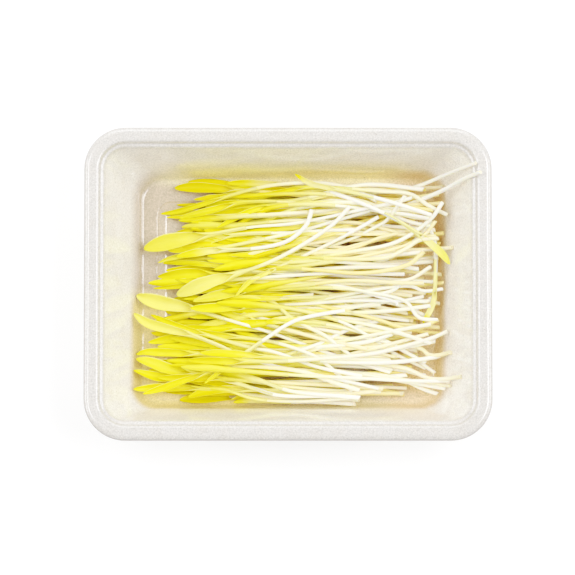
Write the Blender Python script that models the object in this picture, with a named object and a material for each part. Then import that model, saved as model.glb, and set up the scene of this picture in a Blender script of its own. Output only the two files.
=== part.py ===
# Corn microgreens: cut corn shoots lying together in their moulded fibre tray.
# Sizes are in millimetres and become metres when a mesh is made. +X runs along the tray,
# +Z is up, and the origin is on the surface that the tray stands on, below its centre.

import math

import bpy
import numpy as np

MM = 0.001

# Tray: one pressed sheet with a raised panel in its floor, sloped walls and a flat rim
TRAY_LENGTH = 170.0
TRAY_WIDTH = 131.0
TRAY_HEIGHT = 40.0
TRAY_CORNER = 17.5
SHEET = 1.2
FLOOR_LENGTH = 122.0
FLOOR_WIDTH = 92.4
FLOOR_CORNER = 7.0
FILLET = 2.4
PANEL_LENGTH = 106.6
PANEL_WIDTH = 72.6
PANEL_CORNER = 4.0
PANEL_RISE = 1.2
PANEL_SLOPE = 2.8
WALL_INSET = 8.6
WALL_DROP = 3.2
LEDGE_INSET = 7.9
LEDGE_DROP = 2.0
STEP_INSET = 6.9
STEP_SLOPE = 0.7
RIDGE_INSET = 5.4
RIDGE_ROUND = 0.4
LIP_ROUND = 1.9
LIP_DROP = 3.6
LIP_ANGLES = (0, 45, 90)
CORNER_STEPS = 8

# Shoots: a round stem, and a leaf that leaves it rolled and opens into a folded blade
STEM_RADIUS = 0.92
BLADE_THICKNESS = 0.68
TIP_WIDTH = 0.9
WIDEST_AT = 10.0
FLAT_TO = 14.0
LEAF_END = 36.0
LEAF_STATIONS = (0.0, 3.0, WIDEST_AT, 20.0, LEAF_END)
MOST_LEAF_SHARE = 0.45
FULL_BLADE_WIDTH = 4.0
STEM_STEPS = 4
STATIONS = len(LEAF_STATIONS) + STEM_STEPS

# How the shoots lie on the tray and on one another
GAP = 0.3
CELL = 0.5
STIFFNESS = 10.0
LIMP_STIFFNESS = 2.0
SINKING = 0.4
SINKING_ROUNDS = 4
SINKING_STEPS = 160
CLEARING_STEPS = 20
FINE_STEPS_ALONG = 40
FINE_STEPS_ACROSS = 25
LINE_STEPS = 16

# The lower layers, each a row of sprays from the back wall to the front, the last one short
# of the front. A spray's shoots reach their cut ends in another order than their leaf tips,
# so each crosses another
SEED = 11
SPRAYS = 16
SPRAYS_IN_LAYER = 6
SPRAY_PITCH = 13.6
LAYER_SHIFT = 4.5
LAYER_REACH = 4.0
FRONT_TIPS_FROM = -62.0
BACK_TIPS_FROM = -52.0
TIP_RANGE = 28.0
TIP_PITCH = 5.3
TIP_STRAY = 0.8
LENGTHS = (94.0, 116.0)
CUTS = (42.0, 58.0)
CUT_PITCH = 3.2
CUT_STRAY = 0.5
BLADE_WIDTHS = (2.2, 5.2)
FOLDS = (-0.2, 0.2)
MOST_ROLL = 30.0
CUT_ORDER = (1, 3, 0, 2)
CROSSINGS = ((0, 2), (1, 2), (1, 3))

# Where shoots of a spray cross, one is sunk into the other: its rise as a share of both
# half thicknesses, and how far along it the bend that this takes is felt
LEAST_RISE = 0.45
MOST_RISE = 0.7
LIFT_REACH = 25.0
TIE_ROUNDS = 12

# The top layer. Each shoot has places along it from leaf tip to cut end, then its blade's
# width, its fold (positive with the edges up) and its roll in degrees
TOP_SHOOTS = (
    (((-26, 46), (-14, 46), (10, 45), (41, 45)), 3.0, 0.2, 15),
    (((-35, 36), (-12, 37), (15, 39), (34, 41), (52, 43), (66, 47), (78, 50)), 4.0, 0.2, 10),
    (((-25, 27), (5, 29), (39, 33), (54, 37), (66, 41), (73, 44), (80, 46)), 3.0, 0.2, -10),
    (((-48, 44), (-38, 44), (-14, 42), (3, 40), (24, 38), (61, 33)), 4.4, 0.2, 0),
    (((-46, 31), (-31, 34), (-19, 37), (-2, 37), (18, 35), (51, 33)), 3.2, 0.2, -15),
    (((-54, 33), (-46, 34), (-31, 38), (-13, 43), (1, 45), (15, 45), (28, 42), (37, 37)), 2.2, 0.3, 20),
    (((-45, 27), (-25, 27), (5, 29), (39, 27), (62, 25)), 3.8, -0.2, 20),
    (((-55, 6), (-40, 7), (-27, 6), (5, 8), (47, 12), (62, 14)), 4.6, 0.2, 12),
    (((-52, 12), (-40, 11), (-25, 9), (-12, 7), (18, 6), (62, 3)), 2.6, 0.3, -20),
    (((-40, -5), (-25, -2), (-15, 0), (4, 0), (18, -2), (45, -6), (58, -11)), 4.4, 0.2, -12),
    (((-38, -15), (-16, -11), (5, -10), (26, -10), (51, -13)), 3.4, -0.2, -15),
    (((-64, -27), (-57, -26), (-29, -28), (0, -31), (40, -33), (58, -36)), 3.6, 0.2, 15),
    (((-65, -34), (-54, -37), (-42, -37), (-20, -38), (10, -40), (50, -41)), 4.2, 0.2, -20),
    (((-65, -42), (-51, -41), (-29, -42), (-16, -44), (5, -46), (30, -46)), 3.6, 0.2, 12),
    (((-64, -29), (-57, -31), (-48, -34), (-29, -37), (-5, -39), (25, -38), (50, -36)), 5.0, 0.2, -8),
    (((-55, -37), (-25, -38), (10, -42), (39, -43)), 3.6, 0.2, 15),
    (((57, -14), (61, -6), (62, 4), (62, 18), (59, 27)), 2.4, 0.2, 10),
    (((-28, -1), (0, 3), (30, 9), (48, 16), (61, 28)), 3.2, -0.2, -12),
    (((-55, 12), (-48, 14), (-25, 18), (3, 24), (18, 28), (52, 38)), 2.4, 0.3, 25),
    (((-61, 18), (-51, 20), (-38, 22), (-16, 26), (6, 28), (46, 36)), 7.2, 0.15, -8),
    (((-31, 8), (-8, 12), (9, 16), (26, 21), (37, 26), (42, 29), (49, 38)), 3.6, -0.2, 14),
    (((-47, 14), (-31, 16), (-14, 17), (-3, 19), (3, 22), (8, 27), (10, 33)), 3.4, 0.2, -10),
    (((-64, -2), (-54, -5), (-40, -8), (-25, -13), (-8, -18), (18, -27), (43, -35)), 6.2, 0.15, 8),
    (((-41, -8), (-31, -8), (-16, -7), (8, -6), (26, -5), (47, -5), (57, -3)), 4.0, 0.15, 0),
    (((-47, -2), (-38, 1), (-25, 5), (-10, 10), (4, 17), (18, 26), (26, 34)), 6.2, 0.15, -10),
    (((-22, -3), (-16, 3), (-8, 7), (15, 18), (29, 25), (38, 30)), 2.0, 0.3, 0),
    (((-50, -20), (-20, -25), (10, -29), (43, -30)), 3.2, 0.2, 16),
    (((-25, -34), (-8, -30), (13, -23), (25, -17), (39, -13)), 3.0, 0.2, -20),
    (((-33, -25), (-10, -29), (12, -33), (32, -36), (55, -40), (66, -42)), 3.0, 0.2, 10),
    (((-48, -17), (-30, -19), (-8, -22), (8, -27), (15, -31), (22, -37), (27, -43)), 3.4, 0.2, 18),
    (((-58, -10), (-47, -15), (-29, -21), (-15, -25), (-5, -27), (12, -33), (31, -37)), 2.4, 0.3, 10),
    (((-65, -10), (-59, -14), (-49, -17), (-39, -20), (-29, -24), (-12, -31), (38, -42)), 4.2, 0.2, 14),
    (((-61, -44), (-51, -41), (-29, -34), (-16, -33), (5, -35), (20, -40), (30, -43)), 3.0, 0.2, 0),
    (((-30, -6), (-10, -7), (5, -9), (23, -14), (36, -21), (45, -27), (58, -33)), 3.4, -0.2, 15),
    (((-35, -40), (-27, -34), (-9, -21), (0, -15), (8, -12), (24, -9)), 1.8, 0.3, 0),
    (((-37, -27), (-10, -29), (20, -31), (42, -31), (60, -29), (66, -27)), 3.4, 0.2, -18),
    (((-42, -30), (-20, -31), (0, -31), (32, -28), (46, -25), (60, -21), (67, -18)), 3.4, 0.2, 20),
    (((-45, -33), (-20, -35), (5, -37), (30, -38), (52, -39), (68, -39)), 3.0, -0.2, 10),
    (((68, 10), (64, 15), (54, 23), (46, 28), (34, 34), (18, 41)), 3.4, 0.25, 10),
    (((3, 49), (9, 45), (15, 43), (35, 38), (60, 30)), 2.4, 0.3, 20),
)
# The two that lean on the rim are limp, so they hang from there down to the others
LIMP_SHOOTS = (1, 2)


def smoothstep(low, high, x):
    share = np.clip((x - low) / (high - low), 0.0, 1.0)
    return share * share * (3.0 - 2.0 * share)


def mix(first, second, share):
    return first + (second - first) * share


def linear_shares(steps, corners):
    # How much of each corner goes into each of the even steps between the first and the last
    places = np.linspace(0, corners - 1, steps)
    return np.array([np.interp(places, np.arange(corners), unit) for unit in np.eye(corners)]).T


# Fine steps at which a shoot's lower side is held clear of what it lies on
ALONG = linear_shares(FINE_STEPS_ALONG * (STATIONS - 1) + 1, STATIONS)
ACROSS = linear_shares(FINE_STEPS_ACROSS, 3)


def material(name, colour, roughness):
    made = bpy.data.materials.new(name)
    made.use_nodes = True
    shader = made.node_tree.nodes["Principled BSDF"]
    shader.inputs["Base Color"].default_value = (*colour, 1.0)
    shader.inputs["Roughness"].default_value = roughness
    return made


def new_object(name, vertices, faces, made_of, collection):
    mesh = bpy.data.meshes.new(name)
    mesh.from_pydata([tuple(place) for place in np.array(vertices) * MM], [], faces)
    mesh.materials.append(made_of)
    mesh.shade_smooth()
    mesh.set_sharp_from_angle(angle=math.radians(40))
    thing = bpy.data.objects.new(name, mesh)
    collection.objects.link(thing)
    return thing


# The tray's rings: half length, half width, corner radius and height

def rim_ring(inset, drop):
    return TRAY_LENGTH / 2 - inset, TRAY_WIDTH / 2 - inset, TRAY_CORNER - inset, TRAY_HEIGHT - drop


def floor_ring(outset, height):
    return FLOOR_LENGTH / 2 + outset, FLOOR_WIDTH / 2 + outset, FLOOR_CORNER + outset, height


def panel_ring(outset, height):
    return PANEL_LENGTH / 2 + outset, PANEL_WIDTH / 2 + outset, PANEL_CORNER + outset, height


def lip_rings(radius):
    # The rounding from the rim's top to its side, a quarter circle
    rings = []
    for angle in LIP_ANGLES:
        inset = LIP_ROUND - radius * math.sin(math.radians(angle))
        drop = LIP_ROUND - radius * math.cos(math.radians(angle))
        rings.append(rim_ring(inset, drop))
    return rings


def tray_inside():
    # From the raised panel out over the floor, up the wall and over the rim to the lip's edge
    return [
        panel_ring(0.0, SHEET + PANEL_RISE),
        panel_ring(PANEL_SLOPE, SHEET),
        floor_ring(0.0, SHEET),
        floor_ring(0.6 * FILLET, SHEET + 0.25 * FILLET),
        floor_ring(FILLET, SHEET + 0.9 * FILLET),
        rim_ring(WALL_INSET, WALL_DROP),
        rim_ring(LEDGE_INSET, LEDGE_DROP),
        rim_ring(STEP_INSET, LEDGE_DROP),
        rim_ring(STEP_INSET - STEP_SLOPE, RIDGE_ROUND),
        rim_ring(RIDGE_INSET, 0.0),
        *lip_rings(LIP_ROUND),
        rim_ring(0.0, LIP_DROP),
    ]


def tray_underside():
    # The same sheet's lower side, from the lip's edge back to the panel
    return [
        rim_ring(SHEET, LIP_DROP),
        *reversed(lip_rings(LIP_ROUND - SHEET)),
        rim_ring(RIDGE_INSET - RIDGE_ROUND, SHEET),
        rim_ring(RIDGE_INSET, LEDGE_DROP + SHEET),
        rim_ring(WALL_INSET - SHEET, WALL_DROP + SHEET / 2),
        floor_ring(FILLET + SHEET, SHEET + 0.7 * FILLET),
        floor_ring(FILLET, 0.2 * FILLET),
        floor_ring(0.4 * FILLET, 0.0),
        panel_ring(PANEL_SLOPE + SHEET / 2, 0.0),
        panel_ring(SHEET / 2, PANEL_RISE),
    ]


def rounded_rectangle(half_x, half_y, radius, height):
    points = []
    for corner, (sign_x, sign_y) in enumerate(((1, 1), (-1, 1), (-1, -1), (1, -1))):
        for step in range(CORNER_STEPS + 1):
            angle = math.radians(90.0 * (corner + step / CORNER_STEPS))
            x = sign_x * (half_x - radius) + radius * math.cos(angle)
            y = sign_y * (half_y - radius) + radius * math.sin(angle)
            points.append((x, y, height))
    return points


def build_tray(made_of, collection):
    rings = [rounded_rectangle(*ring) for ring in tray_inside() + tray_underside()]
    around = len(rings[0])
    faces = [tuple(range(around))]
    for ring in range(len(rings) - 1):
        start = ring * around
        for here in range(around):
            after = (here + 1) % around
            faces.append((start + here, start + around + here, start + around + after, start + after))
    last = (len(rings) - 1) * around
    faces.append(tuple(last + here for here in reversed(range(around))))
    vertices = [point for ring in rings for point in ring]
    return new_object("tray", vertices, faces, made_of, collection)


def distance_outside(x, y, half_x, half_y, radius):
    # Distance to a rounded rectangle, negative inside it
    over_x = np.abs(x) - (half_x - radius)
    over_y = np.abs(y) - (half_y - radius)
    beyond = np.hypot(np.maximum(over_x, 0.0), np.maximum(over_y, 0.0))
    return beyond + np.minimum(np.maximum(over_x, over_y), 0.0) - radius


class Ground:
    # The highest surface in each cell of the tray's plan: the tray, then what lies in it

    def __init__(self):
        x_line = np.arange(-TRAY_LENGTH / 2, TRAY_LENGTH / 2 + CELL, CELL)
        y_line = np.arange(-TRAY_WIDTH / 2, TRAY_WIDTH / 2 + CELL, CELL)
        x, y = np.meshgrid(x_line, y_line, indexing="ij")
        rings = tray_inside()[:-1]
        self.top = np.full(x.shape, rings[0][3])
        for inner, outer in zip(rings, rings[1:]):
            past_inner = distance_outside(x, y, *inner[:3])
            past_outer = distance_outside(x, y, *outer[:3])
            share = np.clip(past_inner / np.maximum(past_inner - past_outer, 0.001), 0.0, 1.0)
            self.top = np.where(past_inner > 0.0, mix(inner[3], outer[3], share), self.top)
        self.widen()

    def widen(self):
        # Each cell takes its neighbours' height too, so nothing is missed between cells
        rows, columns = self.top.shape
        padded = np.pad(self.top, 1, mode="edge")
        around = [padded[i:i + rows, j:j + columns] for i in range(3) for j in range(3)]
        self.wide = np.maximum.reduce(around)

    def cells(self, places):
        i = np.rint((places[..., 0] + TRAY_LENGTH / 2) / CELL).astype(int)
        j = np.rint((places[..., 1] + TRAY_WIDTH / 2) / CELL).astype(int)
        return np.clip(i, 0, self.top.shape[0] - 1), np.clip(j, 0, self.top.shape[1] - 1)

    def under(self, places):
        return self.wide[self.cells(places)]

    def add(self, places):
        np.maximum.at(self.top, self.cells(places), places[..., 2])


class Shoot:
    # A shoot has stations along it from its leaf tip to its cut end. Each has six corners:
    # left, middle and right on top, then right, middle and left below

    def __init__(self, places, blade_width, fold, roll, stiffness=STIFFNESS):
        self.blade_width = blade_width
        self.fold = fold
        self.roll = math.radians(roll)
        line = smooth_line(np.array(places, float))
        lengths = np.linalg.norm(np.diff(line, axis=0), axis=1)
        run = np.concatenate([[0.0], np.cumsum(lengths)])
        leaf = np.array(LEAF_STATIONS) * min(1.0, MOST_LEAF_SHARE * run[-1] / LEAF_END)
        stem = np.linspace(leaf[-1], run[-1], STEM_STEPS + 1)[1:]
        self.along = np.concatenate([leaf, stem])
        self.x = np.interp(self.along, run, line[:, 0])
        self.y = np.interp(self.along, run, line[:, 1])
        self.z = np.full(STATIONS, TRAY_HEIGHT)
        slopes = np.diff(np.eye(STATIONS), axis=0) / np.diff(self.along)[:, None]
        kinks = np.diff(slopes, axis=0)
        self.straighten = np.linalg.inv(np.eye(STATIONS) + stiffness * kinks.T @ kinks)

    def sections(self):
        # Half width, half thickness at the edges and in the middle, and the edges' rise
        leaf = self.along * LEAF_END / self.along[len(LEAF_STATIONS) - 1]
        flat = min(1.0, self.blade_width / FULL_BLADE_WIDTH) * (1.0 - smoothstep(FLAT_TO, LEAF_END, leaf))
        toward_tip = np.clip(1.0 - leaf / WIDEST_AT, 0.0, 1.0)
        blade = self.blade_width / 2 * np.sqrt(1.0 - toward_tip ** 2)
        blade = mix(blade, STEM_RADIUS, smoothstep(WIDEST_AT, LEAF_END, leaf))
        # The stem's section is a hexagon that stands on a corner
        half = mix(STEM_RADIUS * math.cos(math.radians(30)), np.maximum(blade, TIP_WIDTH / 2), flat)
        edge = mix(STEM_RADIUS / 2, BLADE_THICKNESS / 2, flat)
        middle = mix(STEM_RADIUS, BLADE_THICKNESS / 2, flat)
        return half, edge, middle, self.fold * half * flat, self.roll * flat

    def corners(self):
        centre = np.stack([self.x, self.y, self.z], axis=1)
        heading = np.gradient(centre, self.along, axis=0)
        heading /= np.linalg.norm(heading, axis=1)[:, None]
        level = np.cross([0.0, 0.0, 1.0], heading)
        level /= np.linalg.norm(level, axis=1)[:, None]
        upright = np.cross(heading, level)
        half, edge, middle, rise, roll = [column[:, None] for column in self.sections()]
        side = level * np.cos(roll) + upright * np.sin(roll)
        up = upright * np.cos(roll) - level * np.sin(roll)
        left, right = centre + side * half + up * rise, centre - side * half + up * rise
        top = [left + up * edge, centre + up * middle, right + up * edge]
        below = [right - up * edge, centre - up * middle, left - up * edge]
        return np.stack(top + below, axis=1)

    def lay(self, ground):
        # It sinks, held straight by its stiffness, as far as what lies under it allows
        for sinking in np.linspace(SINKING, SINKING / 4, SINKING_ROUNDS):
            lower = np.einsum("as,ck,skd->acd", ALONG, ACROSS, self.corners()[:, 3:])
            below = (ground.under(lower) + GAP - lower[..., 2]).max(axis=1) + ALONG @ self.z
            for _ in range(SINKING_STEPS):
                self.z = self.straighten @ (self.z - sinking)
                self.rise(below - ALONG @ self.z)
        for _ in range(CLEARING_STEPS):
            lower = np.einsum("as,ck,skd->acd", ALONG, ACROSS, self.corners()[:, 3:])
            self.rise((ground.under(lower) + GAP - lower[..., 2]).max(axis=1))

    def rise(self, short):
        # Each station rises as far as the fine steps beside it fall short
        self.z = self.z + (np.maximum(short, 0.0)[:, None] * ALONG).max(axis=0)

    def cover(self, ground):
        ground.add(np.einsum("as,ck,skd->acd", ALONG, ACROSS, self.corners()[:, :3]))

    def crossing(self, other):
        # The fine steps at which two shoots cross in plan
        mine = ALONG @ np.stack([self.x, self.y], axis=1)
        theirs = ALONG @ np.stack([other.x, other.y], axis=1)
        apart = np.linalg.norm(mine[:, None] - theirs[None, :], axis=2)
        return np.unravel_index(apart.argmin(), apart.shape)

    def lift(self, step, rise):
        # Raised by a smooth arch that is highest at the fine step
        if rise > 0.0:
            arch = np.exp(-((self.along - ALONG[step] @ self.along) / LIFT_REACH) ** 2)
            self.z = self.z + rise * arch / (ALONG[step] @ arch)

    def object(self, name, made_of, collection):
        corners = self.corners()
        faces = []
        for station in range(STATIONS - 1):
            start = station * 6
            for here in range(6):
                after = (here + 1) % 6
                a, b, c, d = start + here, start + after, start + 6 + after, start + 6 + here
                # Both faces of the blade are split the same way, from the middle outward
                if here in (0, 3):
                    faces += [(a, b, d), (b, c, d)]
                else:
                    faces += [(a, b, c), (a, c, d)]
        faces += [(5, 4, 1, 0), (4, 3, 2, 1)]
        end = (STATIONS - 1) * 6
        faces += [(end, end + 1, end + 4, end + 5), (end + 1, end + 2, end + 3, end + 4)]
        return new_object(name, corners.reshape(-1, 3), faces, made_of, collection)


def smooth_line(places):
    # A smooth line through the places, in short steps
    before = 2 * places[0] - places[1]
    beyond = 2 * places[-1] - places[-2]
    knots = np.vstack([before, places, beyond])
    t = np.linspace(0.0, 1.0, LINE_STEPS, endpoint=False)[:, None]
    pieces = []
    for a, b, c, d in zip(knots, knots[1:], knots[2:], knots[3:]):
        bend = (2 * a - 5 * b + 4 * c - d) * t ** 2 + (3 * b - a - 3 * c + d) * t ** 3
        pieces.append(b + 0.5 * ((c - a) * t + bend))
    return np.vstack(pieces + [places[-1:]])


def spray_shoots(rng, layer, place):
    middle = SPRAY_PITCH * ((SPRAYS_IN_LAYER - 1) / 2 - place) + LAYER_SHIFT * (layer - 1)
    toward_back = middle / FLOOR_WIDTH + 0.5
    shoots = []
    for tip_order, cut_order in enumerate(CUT_ORDER):
        tip_x = mix(FRONT_TIPS_FROM, BACK_TIPS_FROM, toward_back) + rng.uniform(0.0, TIP_RANGE)
        cut_x = min(tip_x + rng.uniform(*LENGTHS), rng.uniform(*CUTS) + LAYER_REACH * layer)
        tip_y = middle + TIP_PITCH * (tip_order - 1.5) + rng.uniform(-TIP_STRAY, TIP_STRAY)
        cut_y = middle + CUT_PITCH * (cut_order - 1.5) + rng.uniform(-CUT_STRAY, CUT_STRAY)
        half_way = ((tip_x + cut_x) / 2, (tip_y + cut_y) / 2 + rng.uniform(-TIP_STRAY, TIP_STRAY))
        places = ((tip_x, tip_y), half_way, (cut_x, cut_y))
        width = rng.uniform(*BLADE_WIDTHS)
        shoots.append(Shoot(places, width, rng.choice(FOLDS), rng.uniform(-MOST_ROLL, MOST_ROLL)))
    return shoots


def tie(shoots):
    # Where two shoots of a spray cross, one rests on the other, sunk in so that they fuse
    for _ in range(TIE_ROUNDS):
        for low, high in CROSSINGS:
            lower, upper = shoots[low], shoots[high]
            here, there = lower.crossing(upper)
            thickness = ALONG[here] @ lower.sections()[2] + ALONG[there] @ upper.sections()[2]
            rise = ALONG[there] @ upper.z - ALONG[here] @ lower.z
            upper.lift(there, LEAST_RISE * thickness - rise)
            lower.lift(here, rise - MOST_RISE * thickness)


def joined(name, shoots, made_of, collection):
    # One solid from shoots that cross
    helpers = bpy.data.collections.new("shoots to join")
    bpy.context.scene.collection.children.link(helpers)
    whole = shoots[0].object(name, made_of, collection)
    for shoot in shoots[1:]:
        shoot.object("to join", made_of, helpers)
    union = whole.modifiers.new("union", "BOOLEAN")
    union.operation = "UNION"
    union.operand_type = "COLLECTION"
    union.collection = helpers
    union.solver = "EXACT"
    evaluated = whole.evaluated_get(bpy.context.evaluated_depsgraph_get())
    mesh = bpy.data.meshes.new_from_object(evaluated)
    whole.modifiers.remove(union)
    whole.data = mesh
    for helper in list(helpers.objects):
        bpy.data.objects.remove(helper)
    bpy.data.collections.remove(helpers)
    return whole


def build_shoots(made_of, collection):
    rng = np.random.default_rng(SEED)
    ground = Ground()
    for spray in range(SPRAYS):
        shoots = spray_shoots(rng, *divmod(spray, SPRAYS_IN_LAYER))
        for shoot in shoots:
            shoot.lay(ground)
        tie(shoots)
        for shoot in shoots:
            shoot.cover(ground)
        ground.widen()
        joined(f"spray_{spray + 1:02d}", shoots, made_of, collection)
    for number, (places, width, fold, roll) in enumerate(TOP_SHOOTS):
        stiffness = LIMP_STIFFNESS if number in LIMP_SHOOTS else STIFFNESS
        shoot = Shoot(places, width, fold, roll, stiffness)
        shoot.lay(ground)
        shoot.cover(ground)
        ground.widen()
        shoot.object(f"shoot_{number + 1:02d}", made_of, collection)


def main():
    for thing in list(bpy.data.objects):
        bpy.data.objects.remove(thing)
    collection = bpy.data.collections.new("corn microgreens")
    bpy.context.scene.collection.children.link(collection)
    pulp = material("moulded fibre", (0.83, 0.78, 0.69), 0.85)
    plant = material("corn shoot", (0.86, 0.79, 0.22), 0.45)
    build_tray(pulp, collection)
    build_shoots(plant, collection)


main()
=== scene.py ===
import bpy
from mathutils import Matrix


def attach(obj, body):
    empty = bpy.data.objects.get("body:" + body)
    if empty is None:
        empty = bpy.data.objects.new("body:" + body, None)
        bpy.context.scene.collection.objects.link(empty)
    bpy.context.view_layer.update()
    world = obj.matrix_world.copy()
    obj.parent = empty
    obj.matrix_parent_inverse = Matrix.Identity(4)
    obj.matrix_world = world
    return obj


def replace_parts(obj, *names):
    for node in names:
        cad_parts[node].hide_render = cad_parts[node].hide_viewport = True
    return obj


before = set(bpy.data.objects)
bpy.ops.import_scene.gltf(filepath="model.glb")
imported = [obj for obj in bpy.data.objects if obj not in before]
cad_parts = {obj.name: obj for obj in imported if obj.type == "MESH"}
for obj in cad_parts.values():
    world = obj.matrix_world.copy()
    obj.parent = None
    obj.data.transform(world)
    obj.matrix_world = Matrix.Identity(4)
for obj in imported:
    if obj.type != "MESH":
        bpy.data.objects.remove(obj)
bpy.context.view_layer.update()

# Corn microgreens: cut corn shoots lying in a moulded fibre tray.
# Sizes are in millimetres, turned to metres where a mesh is made. +X runs from the leaf tips to the
# cut ends and +Z is up. The shoots are laid by the same rule as the solids, then given their fine form.

import copy
import math

import bmesh
import bpy
import numpy as np
from mathutils import Vector

mm = 0.001


def smoothstep(low, high, x):
    share = np.clip((x - low) / (high - low), 0.0, 1.0)
    return share * share * (3.0 - 2.0 * share)


def mix(first, second, share):
    return first + (second - first) * share


def roundedOff(start, corner, end, steps):
    # a round from the start to the end, which cuts the corner between them
    return [mix(mix(start, corner, t), mix(corner, end, t), t) for t in np.linspace(0.0, 1.0, steps)]


def linearShares(steps, corners):
    # how much of each corner goes into each even step from the first corner to the last
    places = np.linspace(0, corners - 1, steps)
    return np.array([np.interp(places, np.arange(corners), unit) for unit in np.eye(corners)]).T


def distanceOutside(x, y, halfX, halfY, radius):
    # distance to a rounded rectangle, negative inside it
    overX = np.abs(x) - (halfX - radius)
    overY = np.abs(y) - (halfY - radius)
    beyond = np.hypot(np.maximum(overX, 0.0), np.maximum(overY, 0.0))
    return beyond + np.minimum(np.maximum(overX, overY), 0.0) - radius


# Colours and nodes

def linear(hexColour):
    channels = [int(hexColour[i:i + 2], 16) / 255 for i in (1, 3, 5)]
    return (*[c / 12.92 if c <= 0.04045 else ((c + 0.055) / 1.055) ** 2.4 for c in channels], 1.0)


def setInputs(node, values):
    for name, value in values.items():
        node.inputs[name].default_value = value


def addNode(tree, kind, settings=None, values=None, links=None):
    # one node, its settings, the values of its sockets and what feeds them. It gives its first output.
    node = tree.nodes.new("ShaderNode" + kind)
    for name, value in (settings or {}).items():
        setattr(node, name, value)
    setInputs(node, values or {})
    for name, source in (links or {}).items():
        tree.links.new(source, node.inputs[name])
    return next(socket for socket in node.outputs if socket.enabled)


def setRamp(socket, stops):
    ramp = socket.node.color_ramp
    while len(ramp.elements) < len(stops):
        ramp.elements.new(0.5)
    for element, (place, colour) in zip(ramp.elements, stops):
        element.position = place
        element.color = linear(colour)
    return socket


def newMaterial(name):
    made = bpy.data.materials.new(name)
    made.use_nodes = True
    return made, made.node_tree, made.node_tree.nodes["Principled BSDF"]


def traitsOf(tree):
    # what each vertex carries. On a shoot: how far from its tip, its own tone, which is deeper with
    # painted shade for the lower shoots, and its cut face. On the tray: its trimmed edge and the foot of
    # its panel, which get painted shade, and its inside, outside which shade is painted.
    traits = addNode(tree, "Attribute", {"attribute_name": "traits"})
    return list(addNode(tree, "SeparateColor", links={"Color": traits}).node.outputs)


def shadedBy(tree, colour, noise, darkest, lightest):
    # a noise runs from about 0.3 to 0.7, which scales the colour from the darkest to the lightest
    shade = addNode(tree, "MapRange", values={"From Min": 0.3, "From Max": 0.7, "To Min": darkest,
                    "To Max": lightest}, links={"Value": noise})
    return addNode(tree, "VectorMath", {"operation": "SCALE"}, links={0: colour, "Scale": shade})


# Moulded pulp: felted plant fibre pressed wet on a mesh and dried in a hot mould, with a thin clear
# film against damp. It is off-white, grained by its short fibres with a few brown flecks, and the
# film gives its roundings a thin gloss. Its colour also holds painted light: a greyer rim and outside
# for how the light falls on them, painted shade on its floor, lip edge and panel's foot, and painted
# bounce light and shade where the heap lies.
pulp = {
    # its colours from the floor up to the rim, each at its share of the height: tan painted shade on the
    # floor and a greyer rim, toned down for the stronger light on it
    "upward": ((0.05, "#BFAB8F"), (0.3, "#F5F1E9"), (0.88, "#F5F1E9"), (0.95, "#CBC6BF")),
    "thick": "#B9A78A", "thickRange": (0.45, 0.75), "thickShare": 0.2, "mottleSize": 7.0,
    "grain": 0.7, "grainStrength": 0.32, "fibreWidth": 0.35, "relief": 0.05, "reliefStrength": 0.5,
    "fleck": "#5E4A32", "fleckSpacing": 6.5, "fleckSize": 0.3,
    "roughness": 0.75, "film": 1.0, "filmRoughness": 0.12, "filmIor": 1.8,
    # painted light from the heap: yellow painted bounce light along its sides, tan painted bounce light
    # and shade past its cut ends, and yellow painted bounce light and shade under its leaves. After each
    # colour come the ways it fades, each from nothing to its full strength.
    "paintedHeapLightAndShade": (
        ("#FCEEB2", ("aside", 43.0, 48.0), ("endward", 64.0, 40.0), ("Z", 26.0, 8.0), ("Y", -100.0, 10.0)),
        ("#E0C496", ("X", 34.0, 54.0), ("Z", 14.0, 5.0)),
        ("#E0C983", ("X", 5.0, -25.0), ("Y", 4.0, -8.0), ("Z", 13.0, 6.0)),
    ),
    # a colour for each trait, and how strong it is without and with that trait. Each is painted shade:
    # grey on all but the inside, dark brown on the lip's trimmed edge, and brown in the groove at the
    # panel's foot.
    "inside": ("#CFC8BA", 0.6, 0.0), "lipEdgeShade": ("#7E7366", 0.0, 1.0), "foot": ("#B89E74", 0.0, 0.5),
}


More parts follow.
